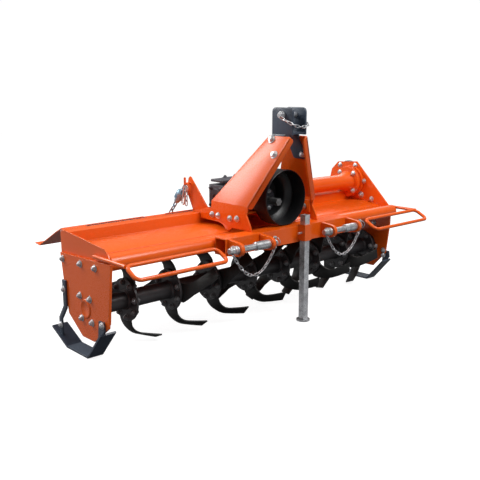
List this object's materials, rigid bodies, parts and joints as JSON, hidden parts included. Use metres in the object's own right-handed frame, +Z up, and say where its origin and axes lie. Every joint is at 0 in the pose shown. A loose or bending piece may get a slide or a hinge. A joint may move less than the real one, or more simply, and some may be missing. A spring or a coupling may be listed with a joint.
{
  "type": "rotavator",
  "caption": "Orange tractor-mounted rotavator with a three-point mast, side chain drive, curved-blade rotor, hinged tailboard, skids and a parking stand.",
  "frame": {"origin": "centre of the bounding box at ground level, under the skids and the parking stand's foot", "axes": "+X along the rotor towards the chain drive, +Y to the rear, +Z up"},
  "size_m": [1.8552, 0.8264, 0.962],
  "materials": {
    "orange_paint": "glossy orange enamel",
    "dark_paint": "dark blue-grey enamel",
    "black_steel": "satin black paint",
    "zinc_steel": "bright zinc plate",
    "cast_housing": "dark grey painted casting",
    "guard_plastic": "black moulded plastic"
  },
  "bodies": {
    "frame": {"chain_case": "dark_paint", "chain_plate": "orange_paint", "drive_tube": "orange_paint", "front_tube": "orange_paint", "gearbox": "cast_housing", "gearbox_saddle": "orange_paint", "hinge_rod": "zinc_steel", "hitch_bar": "orange_paint", "hood": "orange_paint", "hood_hinge_barrels": "orange_paint", "left_chain_upright": "orange_paint", "left_end_plate": "orange_paint", "left_gable": "orange_paint", "left_guard_hoop": "orange_paint", "left_hitch_lugs": "orange_paint", "left_link_pin": "zinc_steel", "left_mast_side": "orange_paint", "left_pin_chain": "zinc_steel", "left_rotor_bearing": "black_steel", "left_skid": "dark_paint", "left_skid_strap": "dark_paint", "left_tail_chain": "zinc_steel", "right_chain_upright": "orange_paint", "right_guard_hoop": "orange_paint", "right_hitch_lugs": "orange_paint", "right_link_pin": "zinc_steel", "right_mast_side": "orange_paint", "right_pin_chain": "zinc_steel", "right_rotor_bearing": "black_steel", "right_skid": "dark_paint", "right_skid_strap": "dark_paint", "right_tail_chain": "zinc_steel", "shaft_guard_cone": "guard_plastic", "shaft_guard_rim": "guard_plastic", "stand_pin": "zinc_steel", "stand_sleeve": "orange_paint", "top_clevis": "dark_paint", "top_link_pin": "zinc_steel"},
    "rotor": {"rotor_tube": "black_steel", "rotor_blades": "black_steel"},
    "input_shaft": {"input_shaft": "zinc_steel"},
    "tailboard": {"tailboard": "orange_paint"},
    "parking_stand": {"stand_leg": "zinc_steel"}
  },
  "joints": [
    {"name": "rotor_spin", "type": "hinge", "parent": "frame", "child": "rotor", "pos_m": [-0.00765, -0.04019, 0.194], "axis": [1, 0, 0], "continuous": true},
    {"name": "input_shaft_spin", "type": "hinge", "parent": "frame", "child": "input_shaft", "pos_m": [-0.00765, -0.21319, 0.542], "axis": [0, 1, 0], "continuous": true},
    {"name": "tailboard_swing", "type": "hinge", "parent": "frame", "child": "tailboard", "pos_m": [-0.00765, 0.16881, 0.47], "axis": [1, 0, 0], "range_deg": [-50, 0]},
    {"name": "stand_slide", "type": "slide", "parent": "frame", "child": "parking_stand", "axis": [0, 0, 1], "range_m": [0, 0.25]}
  ],
  "couplings": [
    {"joint": "input_shaft_spin", "follows": "rotor_spin", "ratio": -2.57}
  ]
}
